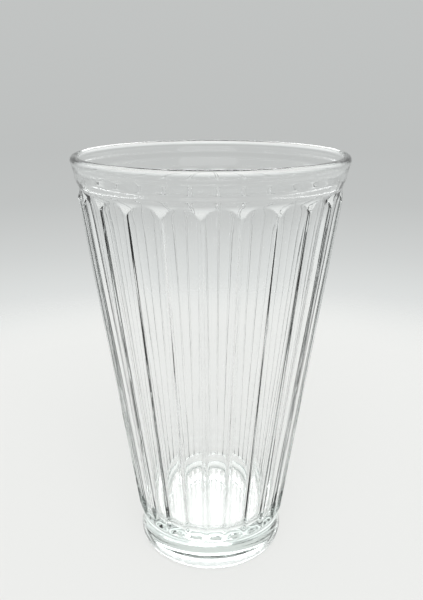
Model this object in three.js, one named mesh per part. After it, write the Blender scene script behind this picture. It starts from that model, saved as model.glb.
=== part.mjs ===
// A mixing glass: a tall, tapered tumbler pressed from clear glass in one piece.
//
// Millimetres, +Z up. The origin is the centre of the foot, on the surface that the glass stands on.
// From the bottom up, the outside is a plain foot ring with a shallow hollow under it, a narrow ledge,
// a conical wall with upright concave flutes, a plain waisted band and a beaded rim. Narrow raised ridges
// stand between the flutes. The flutes end in arches, and between two arches the ridge runs out in a
// sloping shoulder. The inside is a smooth cone with a rounded corner round a thick flat floor.

import * as THREE from "three";

// Heights above the surface that the glass stands on.
const HEIGHT = 141; // crest of the rim
const PUNT_HEIGHT = 1.8; // middle of the hollow under the foot
const PUNT_SHOULDER_HEIGHT = 1.3; // the hollow half way out
const PUNT_EDGE_HEIGHT = 0.35;
const FOOT_WIDEST_HEIGHT = 3;
const FOOT_WAIST_HEIGHT = 7;
const LEDGE_HEIGHT = 12.4; // top of the foot ring, where the fluted wall steps out
const EDGE_HEIGHT = 13.8; // on the rounded lower edge of the wall
const WALL_START = 15.6; // top of that rounded edge
const FLUTE_FOOT = 12.6; // where the lower ends of the flutes run out
const FLUTE_FOOT_FULL = 15.4; // where the flutes reach their full depth
const FLANK_STEEP_FROM = 62; // above it the flanks of the ridges have their least width
const FLUTE_FADE_START = 123; // where the flutes start to fade into the band
const SHOULDER_START = 127.4; // where the arches and the shoulders between them start
const WAIST_HEIGHT = 131.2; // waist of the plain band
const NECK_HEIGHT = 136; // top of the band
const BEAD_START_HEIGHT = 137.6; // between the band and the bead
const BEAD_HEIGHT = 139.4; // bead at its widest
const MOUTH_HEIGHT = 139; // where the rounded rim meets the inside
const BORE_FOOT_HEIGHT = 20.2; // where the rounded corner of the floor starts
const FLOOR_HEIGHT = 13.5; // inside floor

// Radii.
const PUNT_SHOULDER_RADIUS = 12;
const PUNT_EDGE_RADIUS = 20.6; // edge of the hollow under the foot
const CONTACT_INNER_RADIUS = 21.5; // flat ring that the glass stands on
const CONTACT_OUTER_RADIUS = 23.7;
const FOOT_RADIUS = 26.2; // foot ring at its widest
const FOOT_WAIST_RADIUS = 25.8;
const LEDGE_RADIUS = 26.1;
const EDGE_RADIUS = 26.84; // at EDGE_HEIGHT
const WALL_FOOT_RADIUS = 27.1; // ridges at WALL_START
const WALL_SLOPE = 0.1345; // how fast the ridges spread with height
const NECK_RADIUS = 43.2;
const BEAD_START_RADIUS = 43.5;
const RIM_RADIUS = 44; // bead at its widest
const CREST_RADIUS = 42.7; // highest line of the rim
const MOUTH_RADIUS = 41.3; // inside of the rim
const BORE_FOOT_RADIUS = 23.6; // inside wall where the rounded corner of the floor starts
const FLOOR_CORNER = 7; // radius of that corner

// The flutes, and the ridges between them.
const FLUTE_COUNT = 24;
const FLUTE_DEPTH_FOOT = 0.5; // middle of a flute below the foot of a ridge, at the bottom
const FLUTE_DEPTH_HEAD = 0.45; // the same, at the top
const RIDGE_RISE_FOOT = 0.38; // how far a ridge stands proud of the flutes beside it, at the bottom
const RIDGE_RISE_HEAD = 0.68; // the same, at the top
const RIDGE_CREST = 0.28; // half the width of its flat crest
const RIDGE_FLANK_HEAD = 0.48; // width of each of its flanks, which are steep
const RIDGE_FLANK_FOOT = 1.5; // the same at the bottom, where they are broader
const ARCH_REACH = 3.4; // how far an arch draws in from the ridge by the waist
const ARCH_POWER = 1.6; // how round the arches are
const WAIST_DEPTH = 0.85; // waist inside the line of the ridges
const NECK_DEPTH = 0.1; // top of the band inside that line

// Heights of the rows of the mesh.
const FLUTE_ROWS = [24, 42, FLANK_STEEP_FROM, 92, FLUTE_FADE_START];
const SHOULDER_ROWS = [SHOULDER_START, 128.7, 130, WAIST_HEIGHT];
const BAND_ROWS = [132.6, 134, NECK_HEIGHT];
const BORE_ROWS = [105, 65, BORE_FOOT_HEIGHT];

const point = (radius, height) => new THREE.Vector2(radius, height);

// The points of a smooth curve through the given ones, without its first point.
function curveThrough(points, steps) {
  return new THREE.SplineCurve(points).getPoints(steps).slice(1);
}

// The points of a quarter ellipse from one corner point to the other, without its first point.
// It leaves the first upright and meets the second level, or the other way round.
function quarter(from, to, leavesUpright, steps) {
  const points = [];
  for (let i = 1; i <= steps; i++) {
    const angle = ((i / steps) * Math.PI) / 2;
    const late = 1 - Math.cos(angle);
    const early = Math.sin(angle);
    const across = leavesUpright ? late : early;
    const along = leavesUpright ? early : late;
    points.push(point(from.x + (to.x - from.x) * across, from.y + (to.y - from.y) * along));
  }
  return points;
}

// The radius of the crests of the ridges. The flutes and the band are measured inwards from it.
const ridgeRadius = (height) => WALL_FOOT_RADIUS + WALL_SLOPE * (height - WALL_START);

// Half the distance between neighbouring ridges.
const halfPitch = (height) => (Math.PI * ridgeRadius(height)) / FLUTE_COUNT;

// Under the foot: the hollow, the flat contact ring and the rounded edge of the foot ring.
const contactOuter = point(CONTACT_OUTER_RADIUS, 0);
const footWidest = point(FOOT_RADIUS, FOOT_WIDEST_HEIGHT);
const underside = [
  point(0, PUNT_HEIGHT),
  point(PUNT_SHOULDER_RADIUS, PUNT_SHOULDER_HEIGHT),
  point(PUNT_EDGE_RADIUS, PUNT_EDGE_HEIGHT),
  point(CONTACT_INNER_RADIUS, 0),
  contactOuter,
  ...quarter(contactOuter, footWidest, false, 4),
];

// The foot ring narrows to a waist and swells again to the ledge.
const ledge = point(LEDGE_RADIUS, LEDGE_HEIGHT);
const footSide = curveThrough([footWidest, point(FOOT_WAIST_RADIUS, FOOT_WAIST_HEIGHT), ledge], 4);

// The line of the ridges: the rounded lower edge of the wall, the cone, the shoulders and the band.
const wallStart = point(WALL_FOOT_RADIUS, WALL_START);
const coneRows = [...FLUTE_ROWS, ...SHOULDER_ROWS, ...BAND_ROWS];
const wall = [
  ...curveThrough([ledge, point(EDGE_RADIUS, EDGE_HEIGHT), wallStart], 4),
  ...coneRows.map((height) => point(ridgeRadius(height), height)),
];

// The bead and the crest of the rim.
const neck = point(NECK_RADIUS, NECK_HEIGHT);
const beadWidest = point(RIM_RADIUS, BEAD_HEIGHT);
const crest = point(CREST_RADIUS, HEIGHT);
const mouth = point(MOUTH_RADIUS, MOUTH_HEIGHT);
const rim = [
  ...curveThrough([neck, point(BEAD_START_RADIUS, BEAD_START_HEIGHT), beadWidest], 3),
  ...quarter(beadWidest, crest, true, 3),
  ...quarter(crest, mouth, false, 3),
];

// The inside: a straight cone down to the rounded corner of the floor.
const boreFoot = point(BORE_FOOT_RADIUS, BORE_FOOT_HEIGHT);
const boreSlope = (mouth.x - boreFoot.x) / (mouth.y - boreFoot.y);
const inside = [
  ...BORE_ROWS.map((height) => point(boreFoot.x + boreSlope * (height - boreFoot.y), height)),
  ...quarter(boreFoot, point(BORE_FOOT_RADIUS - FLOOR_CORNER, FLOOR_HEIGHT), true, 4),
  point(0, FLOOR_HEIGHT),
];

const outline = [...underside, ...footSide, ...wall, ...rim, ...inside];
const firstFluted = underside.length + footSide.length;
const lastFluted = firstFluted + wall.length - 1;

// How far an arch has drawn in from the ridge beside it at a height: nothing below the shoulders.
function archReach(height) {
  const up = THREE.MathUtils.inverseLerp(SHOULDER_START, WAIST_HEIGHT, height);
  return ARCH_REACH * THREE.MathUtils.clamp(up, 0, 1) ** ARCH_POWER;
}

// The width at a height of the flanks of a ridge.
function flankWidth(height) {
  const steep = THREE.MathUtils.smoothstep(height, FLUTE_FOOT, FLANK_STEEP_FROM);
  return THREE.MathUtils.lerp(RIDGE_FLANK_FOOT, RIDGE_FLANK_HEAD, steep);
}

// The angles at a height of a flute's columns: the middle of the ridge, the edge of its crest, the foot
// of its flank, the middle of the flute, and the next ridge's flank and crest. They follow the arches.
function columnAngles(height) {
  const backAgain = THREE.MathUtils.inverseLerp(NECK_HEIGHT, WAIST_HEIGHT, height);
  const drawnIn = archReach(height) * THREE.MathUtils.clamp(backAgain, 0, 1);
  const pitch = 2 * halfPitch(height);
  const crestEdge = (RIDGE_CREST + drawnIn) / pitch;
  const flankFoot = (RIDGE_CREST + flankWidth(height) + drawnIn) / pitch;
  const across = [0, crestEdge, flankFoot, 0.5, 1 - flankFoot, 1 - crestEdge];
  return across.map((share) => (share * 2 * Math.PI) / FLUTE_COUNT);
}

// How far the wall lies inside the line of the ridges, at an angle from the nearest ridge.
function wallDepth(height, angle) {
  const up = height / HEIGHT;
  const full = THREE.MathUtils.lerp(FLUTE_DEPTH_FOOT, FLUTE_DEPTH_HEAD, up);
  const rise = THREE.MathUtils.lerp(RIDGE_RISE_FOOT, RIDGE_RISE_HEAD, up);
  const reach = archReach(height);
  const fromEdge = Math.max(0, angle * ridgeRadius(height) - reach);
  const hollow = 1 - (1 - fromEdge / (halfPitch(height) - reach)) ** 2;
  const flank = THREE.MathUtils.smoothstep(fromEdge, RIDGE_CREST, RIDGE_CREST + flankWidth(height));
  const pressed = THREE.MathUtils.smoothstep(height, FLUTE_FOOT, FLUTE_FOOT_FULL);
  const neckward = THREE.MathUtils.smoothstep(height, WAIST_HEIGHT, NECK_HEIGHT);
  const band = THREE.MathUtils.lerp(WAIST_DEPTH, NECK_DEPTH, neckward);
  const fade = THREE.MathUtils.smoothstep(height, FLUTE_FADE_START, WAIST_HEIGHT);
  const keep = THREE.MathUtils.lerp(1, band / (full + rise), fade);
  const flute = pressed * keep * (full * hollow + rise * flank);
  const shoulder = band * THREE.MathUtils.smoothstep(height, SHOULDER_START, WAIST_HEIGHT);
  return Math.max(flute, shoulder);
}

// The turned body, with the flutes and the band pressed into the rows of its wall.
function glassGeometry() {
  const rowAngles = outline.map(({ y: height }) => columnAngles(height));
  const columnsPerFlute = rowAngles[0].length;
  const geometry = new THREE.LatheGeometry(outline, FLUTE_COUNT * columnsPerFlute);
  const position = geometry.attributes.position;
  const pitchAngle = (2 * Math.PI) / FLUTE_COUNT;
  for (let i = 0; i < position.count; i++) {
    const row = i % outline.length;
    const column = (i - row) / outline.length;
    const flute = Math.floor(column / columnsPerFlute);
    const angle = rowAngles[row][column % columnsPerFlute];
    const { x: radius, y: height } = outline[row];
    const isWall = row >= firstFluted && row <= lastFluted;
    const fromRidge = Math.min(angle, pitchAngle - angle);
    const pressed = radius - (isWall ? wallDepth(height, fromRidge) : 0);
    const turn = flute * pitchAngle + angle;
    position.setXYZ(i, pressed * Math.sin(turn), height, pressed * Math.cos(turn));
  }
  geometry.rotateX(Math.PI / 2);
  geometry.computeVertexNormals();
  return geometry;
}

const clearGlass = new THREE.MeshStandardMaterial({
  color: 0xe6efec,
  roughness: 0.04,
  metalness: 0,
  transparent: true,
  opacity: 0.35,
});

const glassBody = new THREE.Mesh(glassGeometry(), clearGlass);
glassBody.name = "glass_body";

const mixingGlass = new THREE.Group();
mixingGlass.name = "mixing_glass";
mixingGlass.add(glassBody);

export default mixingGlass;
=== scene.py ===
"""A mixing glass of clear pressed glass: a tall fluted tumbler standing on a pale studio floor."""

import math

import bpy
import numpy as np
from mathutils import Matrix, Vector


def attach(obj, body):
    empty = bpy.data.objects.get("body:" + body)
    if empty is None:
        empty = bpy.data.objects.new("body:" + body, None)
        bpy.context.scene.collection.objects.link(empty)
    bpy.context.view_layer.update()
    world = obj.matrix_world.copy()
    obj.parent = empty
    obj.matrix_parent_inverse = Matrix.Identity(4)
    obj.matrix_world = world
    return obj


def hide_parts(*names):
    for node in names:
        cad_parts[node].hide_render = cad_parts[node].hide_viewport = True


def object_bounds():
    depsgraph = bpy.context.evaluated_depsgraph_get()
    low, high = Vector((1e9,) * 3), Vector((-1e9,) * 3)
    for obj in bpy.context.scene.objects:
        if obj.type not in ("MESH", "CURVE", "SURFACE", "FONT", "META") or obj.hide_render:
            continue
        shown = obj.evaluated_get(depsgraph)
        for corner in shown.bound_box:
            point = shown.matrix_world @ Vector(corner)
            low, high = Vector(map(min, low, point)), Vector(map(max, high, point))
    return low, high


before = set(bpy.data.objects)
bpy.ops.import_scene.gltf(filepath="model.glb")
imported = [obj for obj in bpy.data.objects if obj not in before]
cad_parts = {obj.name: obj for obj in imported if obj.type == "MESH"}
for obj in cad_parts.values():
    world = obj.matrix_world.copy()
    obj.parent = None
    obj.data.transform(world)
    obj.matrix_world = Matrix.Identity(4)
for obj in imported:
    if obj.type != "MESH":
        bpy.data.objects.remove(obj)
cad_low, cad_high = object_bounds()

MM = 0.001

# The glass, in millimetres. Its height and widest radius come from the frame.
HEIGHT = cad_high.z / MM
RIM_RADIUS = cad_high.x / MM
PUNT_HEIGHT = 1.8  # middle of the hollow under the foot
PUNT_RADIUS = 20.6  # where the hollow turns down to the contact ring
PUNT_EDGE_HEIGHT = 0.35
CONTACT_INNER_RADIUS = 21.5  # flat ring that the glass stands on
CONTACT_OUTER_RADIUS = 23.7
FOOT_RADIUS = 26.2  # foot ring at its widest
FOOT_WIDEST_HEIGHT = 3.0
FOOT_WAIST_RADIUS = 25.8
FOOT_WAIST_HEIGHT = 7.0
LEDGE_RADIUS = 26.1
LEDGE_HEIGHT = 12.4  # top of the foot ring
WALL_FOOT_RADIUS = 27.1  # ridges at WALL_START
WALL_START = 15.6
WALL_SLOPE = 0.1345  # how fast the ridges spread with height
NECK_RADIUS = 43.2  # narrowest place under the bead
NECK_HEIGHT = 136.0
BEAD_HEIGHT = 139.4
CREST_RADIUS = 42.7  # highest line of the rim
MOUTH_RADIUS = 41.3
MOUTH_HEIGHT = 139.0
BORE_FOOT_RADIUS = 23.6  # inside wall where the rounded corner of the floor starts
BORE_FOOT_HEIGHT = 20.2
FLOOR_HEIGHT = 13.5
FLOOR_CORNER = 7.0

# The flutes and the narrow raised ridges between them, in millimetres.
FLUTE_COUNT = 24
FLUTE_DEPTH_FOOT = 0.5  # middle of a flute below the foot of a ridge
FLUTE_DEPTH_HEAD = 0.45
RIDGE_RISE_FOOT = 0.38  # how far a ridge stands proud of the flutes beside it
RIDGE_RISE_HEAD = 0.68
RIDGE_CREST = 0.28  # half the width of its flat crest
RIDGE_FLANK_HEAD = 0.48  # width of each of its flanks, which are steep but broaden towards the foot
RIDGE_FLANK_FOOT = 1.5
FLANK_STEEP_FROM = 62.0
FLUTE_FOOT = 12.6  # the relief runs out between these two heights
FLUTE_FOOT_FULL = 15.4
WALL_CLOSE_TO = WALL_START + 1.6  # the lowest stretch of the wall, which has closer rows of faces

# The plain band, in millimetres. Its waist lies inside the line of the ridges, so they end in shoulders.
SHOULDER_START = 127.4
SHOULDER_EASE = 1.0  # the shoulders' rounding comes in over this much on either side of their start
SHOULDER_ROUNDING = 0.04
ARCH_REACH = 3.4  # how far the arched head of a flute draws in from the ridge by the waist
ARCH_POWER = 1.6
WAIST_HEIGHT = 131.2
WAIST_DEPTH = 0.85
NECK_DEPTH = 0.1
NECK_START = NECK_HEIGHT - 1  # the band is at the depth of the neck from here up
FLUTE_FADE_START = 123.0

# The faces of the wall. Their columns crowd towards the ridges, where the relief is steep.
WALL_ROWS = (4, 10, 4, 14, 10)  # from WALL_START up to the neck, by the heights where the relief changes
COLUMNS_PER_FLUTE = 30
EVEN_SHARE = 0.22  # the share of the columns' spacing that is even
CROWDING = 5  # how strongly the rest crowds

# Clear soda-lime glass. Noise scales are per metre, or over a unit direction for the drag lines.
GLASS_IOR = 1.52
GLASS_TINT = (0.3, 0.7, 0.55, 1)
GLASS_ABSORPTION = 3.2  # per metre
DRAG_SCALE = 26
DRAG_DEPTH = 0.000012  # metres
WAVE_SCALE = 110
WAVE_DEPTH = 0.00002  # metres
SCUFF_SCALE = 900
SCUFF_DETAIL = 4
SCUFFS_UP_TO = 0.0009  # metres above the table
SCUFF_ROUGHNESS = 0.5
POLISHED_ROUGHNESS = 0.004

# The studio floor, in metres.
STUDIO_FLOOR_RADIUS = 0.9
STUDIO_FLOOR_SIDES = 96
STUDIO_FLOOR_DROP = 0.00005  # it lies this far under the glass, so that their faces don't coincide
STUDIO_FLOOR_TONE = (0.74, 0.731, 0.723, 1)
STUDIO_FLOOR_ROUGHNESS = 0.9
STUDIO_FLOOR_GLOSS = 0.2
PAINTED_LIGHT_TONE = (1.0, 0.995, 0.985, 1)  # painted pool of light under the foot, standing in for the light the glass gathers onto the floor
PAINTED_LIGHT_RADIUS = 0.0205
PAINTED_LIGHT_EDGE_RADIUS = 0.0235
FADE_START = 0.2  # it fades into the surroundings between these two radii
FADE_END = 0.32

# Brightness of the surroundings by the elevation in degrees.
SKY = [
    (-90, 0.82),
    (-30, 0.84),
    (-20.6, 0.81),
    (-17.1, 0.73),
    (-14.4, 0.65),
    (-12.2, 0.6),
    (-10, 0.552),
    (-5.7, 0.53),
    (6, 0.552),
    (12, 0.58),
    (19, 1.35),
    (27, 1.35),
    (40, 0.88),
    (90, 0.88),
]
SKY_TINT = (0.975, 1, 0.99)

# The lights: place and target in metres, side in metres and power in watts.
OVERHEAD_PLACE = (0.1, -0.7, 1.0)
OVERHEAD_TARGET = (0, 0, 0.07)
OVERHEAD_SIDE = 0.9
OVERHEAD_POWER = 2.5
WINDOW_PLACE = (-0.05, 1.3, 0.85)
WINDOW_TARGET = (0, 0, 0.1)
WINDOW_SIDE = 0.5
WINDOW_POWER = 4.4

# The camera: sensor and lens in millimetres, angles in degrees, the rest in metres.
CAMERA_SENSOR = 36
CAMERA_LENS = 38.925
CAMERA_AZIMUTH = 3.6  # to the right of the -Y axis
CAMERA_DISTANCE = 0.210
CAMERA_HEIGHT = 0.1631
CAMERA_PITCH = 18.853  # downwards
CAMERA_YAW = 0.064  # to the right of the glass's axis
CAMERA_CLIP = 0.01

LIGHT_BOUNCES = 32


def line(start, end, steps):
    """Points of a straight run, without its first point."""
    t = np.linspace(0, 1, steps + 1)[1:, None]
    return np.array(start) * (1 - t) + np.array(end) * t


def quarter(start, end, leaves_upright, steps):
    """Points of a quarter ellipse, upright at one end and level at the other, without its first point."""
    angle = np.linspace(0, math.pi / 2, steps + 1)[1:]
    late, early = 1 - np.cos(angle), np.sin(angle)
    across, along = (late, early) if leaves_upright else (early, late)
    x = start[0] + (end[0] - start[0]) * across
    y = start[1] + (end[1] - start[1]) * along
    return np.stack([x, y], axis=1)


def smooth_curve(start, start_slope, end, end_slope, steps):
    """Points of a cubic between two points with the given directions, without its first point."""
    t = np.linspace(0, 1, steps + 1)[1:, None]
    start, end = np.array(start), np.array(end)
    reach = np.linalg.norm(end - start)
    leave, meet = np.array(start_slope) * reach, np.array(end_slope) * reach
    return (
        start * (2 * t**3 - 3 * t**2 + 1)
        + leave * (t**3 - 2 * t**2 + t)
        + end * (3 * t**2 - 2 * t**3)
        + meet * (t**3 - t**2)
    )


def ridge_radius(height):
    """The radius of the crests of the ridges."""
    return WALL_FOOT_RADIUS + WALL_SLOPE * (height - WALL_START)


def underside_and_foot():
    """Runs of the section's points from the middle of the underside round the foot to the ledge."""
    punt = (0, PUNT_HEIGHT)
    punt_edge = (PUNT_RADIUS, PUNT_EDGE_HEIGHT)
    contact_in, contact_out = (CONTACT_INNER_RADIUS, 0), (CONTACT_OUTER_RADIUS, 0)
    foot_widest = (FOOT_RADIUS, FOOT_WIDEST_HEIGHT)
    foot_waist = (FOOT_WAIST_RADIUS, FOOT_WAIST_HEIGHT)
    ledge = (LEDGE_RADIUS, LEDGE_HEIGHT)
    up, out, out_and_up = (0, 1), (1, 0), (0.25, 0.9)
    gently_down, down = (0.9, -0.25), (0.8, -0.45)
    return [
        np.array([punt]),
        smooth_curve(punt, out, punt_edge, gently_down, steps=8),
        smooth_curve(punt_edge, down, contact_in, out, steps=4),
        line(contact_in, contact_out, steps=1),
        quarter(contact_out, foot_widest, leaves_upright=False, steps=10),
        smooth_curve(foot_widest, up, foot_waist, up, steps=6),
        smooth_curve(foot_waist, up, ledge, out_and_up, steps=6),
    ]


def fluted_wall():
    """Runs of the section's points along the ridges, from the ledge to the neck."""
    ledge = (LEDGE_RADIUS, LEDGE_HEIGHT)
    wall_start = (WALL_FOOT_RADIUS, WALL_START)
    out_and_up, up_wall = (0.7, 0.5), (WALL_SLOPE, 1)
    wall = [smooth_curve(ledge, out_and_up, wall_start, up_wall, steps=10)]
    turns = [WALL_START, WALL_CLOSE_TO, FLUTE_FADE_START, SHOULDER_START, WAIST_HEIGHT, NECK_HEIGHT]
    for low, high, steps in zip(turns, turns[1:], WALL_ROWS):
        wall.append(line((ridge_radius(low), low), (ridge_radius(high), high), steps))
    return wall


def rim_and_inside():
    """Runs of the section's points from the neck over the rim and down inside to the floor's middle."""
    neck = (NECK_RADIUS, NECK_HEIGHT)
    bead = (RIM_RADIUS, BEAD_HEIGHT)
    crest = (CREST_RADIUS, HEIGHT)
    mouth = (MOUTH_RADIUS, MOUTH_HEIGHT)
    bore_foot = (BORE_FOOT_RADIUS, BORE_FOOT_HEIGHT)
    floor_edge = (BORE_FOOT_RADIUS - FLOOR_CORNER, FLOOR_HEIGHT)
    up = (0, 1)
    return [
        smooth_curve(neck, up, bead, up, steps=10),
        quarter(bead, crest, leaves_upright=True, steps=8),
        quarter(crest, mouth, leaves_upright=False, steps=8),
        line(mouth, bore_foot, steps=6),
        quarter(bore_foot, floor_edge, leaves_upright=True, steps=12),
        line(floor_edge, (0, FLOOR_HEIGHT), steps=2),
    ]


def outline():
    """The section's points, and for each of them 1 where the wall is fluted and 0 elsewhere."""
    underside, wall, inside = underside_and_foot(), fluted_wall(), rim_and_inside()
    points = np.concatenate(underside + wall + inside)
    first = sum(len(run) for run in underside)
    fluted = np.zeros(len(points))
    fluted[first : first + sum(len(run) for run in wall)] = 1
    return points, fluted


def half_pitch(height):
    """Half the distance between neighbouring ridges."""
    return math.pi * ridge_radius(height) / FLUTE_COUNT


def arch(height):
    """How far the head of a flute has drawn in from the ridge beside it."""
    up = np.clip((height - SHOULDER_START) / (WAIST_HEIGHT - SHOULDER_START), 0, 1)
    return ARCH_REACH * up**ARCH_POWER


def column_angles(height):
    """The columns' angles at each height. They crowd along the ridges' flanks and follow the arches."""
    half = COLUMNS_PER_FLUTE // 2
    step = np.arange(half + 1) / half
    from_ridge = (EVEN_SHARE * step + (1 - EVEN_SHARE) * step**CROWDING) * half_pitch(height)
    land = np.clip(from_ridge / RIDGE_CREST, 0, 1)
    room = (half_pitch(height) - from_ridge) / (half_pitch(height) - RIDGE_CREST)
    above_waist = (height - WAIST_HEIGHT) / (NECK_HEIGHT - WAIST_HEIGHT)
    drawn_in = arch(height) * np.clip(1 - above_waist, 0, 1)
    from_ridge = (from_ridge + drawn_in * land * np.clip(room, 0, 1)) / half_pitch(height)
    one_flute = np.concatenate([from_ridge[:, :half], 2 - from_ridge[:, :0:-1]], axis=1) / 2
    pitch = 2 * math.pi / FLUTE_COUNT
    return np.concatenate([(flute + one_flute) * pitch for flute in range(FLUTE_COUNT)], axis=1)


def ease(value, start, end):
    """0 at start and before it, 1 at end and after it, and a smooth step between."""
    t = np.clip((value - start) / (end - start), 0, 1)
    return t * t * (3 - 2 * t)


def larger(a, b, rounding):
    """The larger of two values, with a rounded changeover."""
    return (a + b + np.sqrt((a - b) ** 2 + rounding**2)) / 2


def flute_depth(height, angle):
    """How far the wall lies inside the line of the ridges, in the flutes and in the plain band above."""
    turn = angle * FLUTE_COUNT / (2 * math.pi)
    from_ridge = np.abs(turn - np.round(turn)) * 2
    from_edge = np.clip(from_ridge * half_pitch(height) - arch(height), 0, None)
    hollow = 1 - (1 - from_edge / (half_pitch(height) - arch(height))) ** 2
    broad = ease(height, FLANK_STEEP_FROM, FLUTE_FOOT)
    flank_width = RIDGE_FLANK_HEAD + (RIDGE_FLANK_FOOT - RIDGE_FLANK_HEAD) * broad
    flank = ease(from_edge, RIDGE_CREST, RIDGE_CREST + flank_width)
    up = height / HEIGHT
    full = FLUTE_DEPTH_FOOT + (FLUTE_DEPTH_HEAD - FLUTE_DEPTH_FOOT) * up
    rise = RIDGE_RISE_FOOT + (RIDGE_RISE_HEAD - RIDGE_RISE_FOOT) * up
    flute = (full * hollow + rise * flank) * ease(height, FLUTE_FOOT, FLUTE_FOOT_FULL)
    band = WAIST_DEPTH + (NECK_DEPTH - WAIST_DEPTH) * ease(height, WAIST_HEIGHT, NECK_START)
    flute = flute * (1 + (band / (full + rise) - 1) * ease(height, FLUTE_FADE_START, WAIST_HEIGHT))
    shoulder = band * ease(height, SHOULDER_START, WAIST_HEIGHT)
    rounded = ease(height, SHOULDER_START - SHOULDER_EASE, SHOULDER_START + SHOULDER_EASE)
    return larger(flute, shoulder, SHOULDER_ROUNDING * rounded)


def glass_mesh():
    """The closed mesh of the glass, in metres."""
    points, fluted = outline()
    rings = points[1:-1]
    heights = rings[:, 1][:, None]
    fluted = fluted[1:-1][:, None]
    angles = column_angles(np.where(fluted, heights, WALL_START))
    radii = rings[:, 0][:, None] - fluted * flute_depth(heights, angles)
    x = radii * np.sin(angles)
    y = -radii * np.cos(angles)
    z = np.broadcast_to(heights, radii.shape)
    rows, columns = angles.shape
    vertices = np.stack([x, y, z], axis=2).reshape(-1, 3)
    poles = [[0, 0, points[0][1]], [0, 0, points[-1][1]]]
    vertices = np.concatenate([vertices, poles]) * MM
    column = np.arange(columns)
    beside = (column + 1) % columns
    lower = (np.arange(rows - 1) * columns)[:, None]
    upper = lower + columns
    quads = np.stack([lower + column, lower + beside, upper + beside, upper + column], axis=2)
    last = (rows - 1) * columns
    bottom, top = rows * columns, rows * columns + 1
    faces = quads.reshape(-1, 4).tolist()
    faces += [(bottom, b, a) for a, b in zip(column.tolist(), beside.tolist())]
    faces += [(last + a, last + b, top) for a, b in zip(column.tolist(), beside.tolist())]
    mesh = bpy.data.meshes.new("glass")
    mesh.from_pydata(vertices.tolist(), [], faces)
    mesh.validate()
    mesh.polygons.foreach_set("use_smooth", [True] * len(mesh.polygons))
    mesh.update()
    return mesh


def noise_bump(nodes, links, vector, scale, detail, height, under=None):
    """A bump layer of noise over another normal: features 1 / scale across and about height metres deep."""
    noise = nodes.new("ShaderNodeTexNoise")
    noise.inputs["Scale"].default_value = scale
    noise.inputs["Detail"].default_value = detail
    links.new(vector, noise.inputs["Vector"])
    bump = nodes.new("ShaderNodeBump")
    bump.inputs["Distance"].default_value = height
    links.new(noise.outputs["Fac"], bump.inputs["Height"])
    if under:
        links.new(under, bump.inputs["Normal"])
    return bump.outputs["Normal"]


def drag_line_place(nodes, links, place):
    """The direction from the axis plus the place, so that noise over it is drawn out along the height."""
    flat = nodes.new("ShaderNodeVectorMath")
    flat.operation = "MULTIPLY"
    flat.inputs[1].default_value = (1, 1, 0)
    links.new(place, flat.inputs[0])
    around = nodes.new("ShaderNodeVectorMath")
    around.operation = "NORMALIZE"
    links.new(flat.outputs["Vector"], around.inputs[0])
    drawn_out = nodes.new("ShaderNodeVectorMath")
    drawn_out.operation = "ADD"
    links.new(around.outputs["Vector"], drawn_out.inputs[0])
    links.new(place, drawn_out.inputs[1])
    return drawn_out.outputs["Vector"]


def worn_roughness(nodes, links, place):
    """The roughness: fire-polished glass, with a scuffed ring where it meets the table."""
    split = nodes.new("ShaderNodeSeparateXYZ")
    links.new(place, split.inputs["Vector"])
    scuffs = nodes.new("ShaderNodeTexNoise")
    scuffs.inputs["Scale"].default_value = SCUFF_SCALE
    scuffs.inputs["Detail"].default_value = SCUFF_DETAIL
    links.new(place, scuffs.inputs["Vector"])
    near_table = nodes.new("ShaderNodeMapRange")
    near_table.inputs["From Min"].default_value = SCUFFS_UP_TO
    near_table.inputs["From Max"].default_value = 0.0
    near_table.inputs["To Max"].default_value = SCUFF_ROUGHNESS
    links.new(split.outputs["Z"], near_table.inputs["Value"])
    worn = nodes.new("ShaderNodeMath")
    worn.operation = "MULTIPLY"
    links.new(near_table.outputs["Result"], worn.inputs[0])
    links.new(scuffs.outputs["Fac"], worn.inputs[1])
    roughness = nodes.new("ShaderNodeMath")
    roughness.operation = "ADD"
    roughness.inputs[1].default_value = POLISHED_ROUGHNESS
    roughness.use_clamp = True
    links.new(worn.outputs["Value"], roughness.inputs[0])
    return roughness.outputs["Value"]


def clear_glass():
    """Clear soda-lime glass with a faint green tint, slightly wavy and scuffed at the foot."""
    material = bpy.data.materials.new("clear_glass")
    material.use_nodes = True
    nodes, links = material.node_tree.nodes, material.node_tree.links
    nodes.clear()
    output = nodes.new("ShaderNodeOutputMaterial")
    shader = nodes.new("ShaderNodeBsdfPrincipled")
    shader.inputs["Base Color"].default_value = (1, 1, 1, 1)
    shader.inputs["IOR"].default_value = GLASS_IOR
    shader.inputs["Transmission Weight"].default_value = 1
    links.new(shader.outputs["BSDF"], output.inputs["Surface"])
    absorption = nodes.new("ShaderNodeVolumeAbsorption")
    absorption.inputs["Color"].default_value = GLASS_TINT
    absorption.inputs["Density"].default_value = GLASS_ABSORPTION
    links.new(absorption.outputs["Volume"], output.inputs["Volume"])

    place = nodes.new("ShaderNodeTexCoord").outputs["Object"]

    # Faint drag lines of the mould run up the wall, under a broad waviness a few millimetres across.
    drag = noise_bump(nodes, links, drag_line_place(nodes, links, place), DRAG_SCALE, 1, DRAG_DEPTH)
    wavy = noise_bump(nodes, links, place, WAVE_SCALE, 2, WAVE_DEPTH, under=drag)
    links.new(wavy, shader.inputs["Normal"])
    links.new(worn_roughness(nodes, links, place), shader.inputs["Roughness"])
    return material


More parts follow.
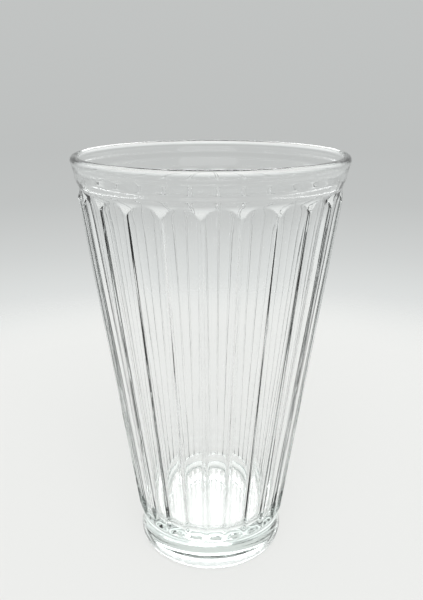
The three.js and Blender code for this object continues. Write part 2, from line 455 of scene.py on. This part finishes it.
def floor_material():
    """Pale matt paint with a painted pool of light under the foot of the glass, that fades out towards the
    edge of the floor.
    """
    material = bpy.data.materials.new("floor")
    material.use_nodes = True
    nodes, links = material.node_tree.nodes, material.node_tree.links
    shader = nodes["Principled BSDF"]
    shader.inputs["Roughness"].default_value = STUDIO_FLOOR_ROUGHNESS
    shader.inputs["Specular IOR Level"].default_value = STUDIO_FLOOR_GLOSS
    geometry = nodes.new("ShaderNodeNewGeometry")
    from_axis = nodes.new("ShaderNodeVectorMath")
    from_axis.operation = "LENGTH"
    links.new(geometry.outputs["Position"], from_axis.inputs[0])
    # Painted light: inside the foot's radius the floor's colour turns paler, standing in for light the
    # glass gathers onto it.
    under = nodes.new("ShaderNodeMapRange")
    under.inputs["From Min"].default_value = PAINTED_LIGHT_RADIUS
    under.inputs["From Max"].default_value = PAINTED_LIGHT_EDGE_RADIUS
    links.new(from_axis.outputs["Value"], under.inputs["Value"])
    floor_and_painted_light = nodes.new("ShaderNodeMix")
    floor_and_painted_light.data_type = "RGBA"
    # A mix node numbers its colour sockets 6 and 7, and its colour result 2.
    floor_and_painted_light.inputs[6].default_value = PAINTED_LIGHT_TONE
    floor_and_painted_light.inputs[7].default_value = STUDIO_FLOOR_TONE
    links.new(under.outputs["Result"], floor_and_painted_light.inputs[0])
    links.new(floor_and_painted_light.outputs[2], shader.inputs["Base Color"])
    fade = nodes.new("ShaderNodeMapRange")
    fade.interpolation_type = "SMOOTHSTEP"
    fade.inputs["From Min"].default_value = FADE_START
    fade.inputs["From Max"].default_value = FADE_END
    links.new(from_axis.outputs["Value"], fade.inputs["Value"])
    clear = nodes.new("ShaderNodeBsdfTransparent")
    mix = nodes.new("ShaderNodeMixShader")
    links.new(fade.outputs["Result"], mix.inputs["Fac"])
    links.new(shader.outputs["BSDF"], mix.inputs[1])
    links.new(clear.outputs["BSDF"], mix.inputs[2])
    links.new(mix.outputs["Shader"], nodes["Material Output"].inputs["Surface"])
    return material


def studio_floor():
    """A pale matt disc that the glass stands on."""
    mesh = bpy.data.meshes.new("floor")
    ring = []
    for side in range(STUDIO_FLOOR_SIDES):
        angle = 2 * math.pi * side / STUDIO_FLOOR_SIDES
        x = STUDIO_FLOOR_RADIUS * math.cos(angle)
        y = STUDIO_FLOOR_RADIUS * math.sin(angle)
        ring.append((x, y, -STUDIO_FLOOR_DROP))
    mesh.from_pydata(ring, [], [list(range(STUDIO_FLOOR_SIDES))])
    mesh.materials.append(floor_material())
    floor = bpy.data.objects.new("floor", mesh)
    bpy.context.collection.objects.link(floor)


def surroundings():
    """A soft world: pale below, a grey wall round the horizon, then a bright band and a pale ceiling."""
    world = bpy.data.worlds.new("studio")
    bpy.context.scene.world = world
    world.use_nodes = True
    nodes, links = world.node_tree.nodes, world.node_tree.links
    nodes.clear()
    output = nodes.new("ShaderNodeOutputWorld")
    background = nodes.new("ShaderNodeBackground")
    links.new(background.outputs["Background"], output.inputs["Surface"])
    direction = nodes.new("ShaderNodeTexCoord")
    split = nodes.new("ShaderNodeSeparateXYZ")
    links.new(direction.outputs["Generated"], split.inputs["Vector"])
    # The ramp runs from 0 straight down to 1 straight up, by the sine of the elevation.
    half = nodes.new("ShaderNodeMath")
    half.operation = "MULTIPLY_ADD"
    half.inputs[1].default_value = 0.5
    half.inputs[2].default_value = 0.5
    links.new(split.outputs["Z"], half.inputs[0])
    ramp = nodes.new("ShaderNodeValToRGB")
    elements = ramp.color_ramp.elements
    ready_made = len(elements)
    for index, (elevation, level) in enumerate(SKY):
        place = 0.5 + 0.5 * math.sin(math.radians(elevation))
        element = elements[index] if index < ready_made else elements.new(place)
        element.position = place
        element.color = (*(level * share for share in SKY_TINT), 1)
    links.new(half.outputs["Value"], ramp.inputs["Fac"])
    links.new(ramp.outputs["Color"], background.inputs["Color"])


def soft_light(name, place, target, side, power):
    """A square soft light aimed at a point."""
    data = bpy.data.lights.new(name, "AREA")
    data.shape = "SQUARE"
    data.size = side
    data.energy = power
    lamp = bpy.data.objects.new(name, data)
    lamp.location = place
    lamp.rotation_euler = (Vector(target) - Vector(place)).to_track_quat("-Z", "Y").to_euler()
    bpy.context.collection.objects.link(lamp)
    return lamp


def main_camera():
    """The camera: a little above the rim, a short arm's length away, looking down at the glass."""
    data = bpy.data.cameras.new("camera")
    data.sensor_width = CAMERA_SENSOR
    data.lens = CAMERA_LENS
    data.clip_start = CAMERA_CLIP
    azimuth = math.radians(CAMERA_AZIMUTH)
    across, back = CAMERA_DISTANCE * math.sin(azimuth), CAMERA_DISTANCE * math.cos(azimuth)
    camera = bpy.data.objects.new("camera", data)
    camera.location = (across, -back, CAMERA_HEIGHT)
    camera.rotation_euler = (math.radians(90 - CAMERA_PITCH), 0, azimuth - math.radians(CAMERA_YAW))
    bpy.context.collection.objects.link(camera)
    bpy.context.scene.camera = camera


main_camera()
glass = bpy.data.objects.new("mixing_glass", glass_mesh())
bpy.context.collection.objects.link(glass)
glass.data.materials.append(clear_glass())
glass.visible_diffuse = False  # clear glass hardly shades the floor round it
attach(glass, "root")
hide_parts("glass_body")

studio_floor()
surroundings()
soft_light("overhead", OVERHEAD_PLACE, OVERHEAD_TARGET, OVERHEAD_SIDE, OVERHEAD_POWER)
window = soft_light("window", WINDOW_PLACE, WINDOW_TARGET, WINDOW_SIDE, WINDOW_POWER)
window.data.use_shadow = False

scene = bpy.context.scene
scene.view_settings.view_transform = "Standard"
scene.cycles.max_bounces = LIGHT_BOUNCES
scene.cycles.transmission_bounces = LIGHT_BOUNCES
scene.cycles.transparent_max_bounces = LIGHT_BOUNCES
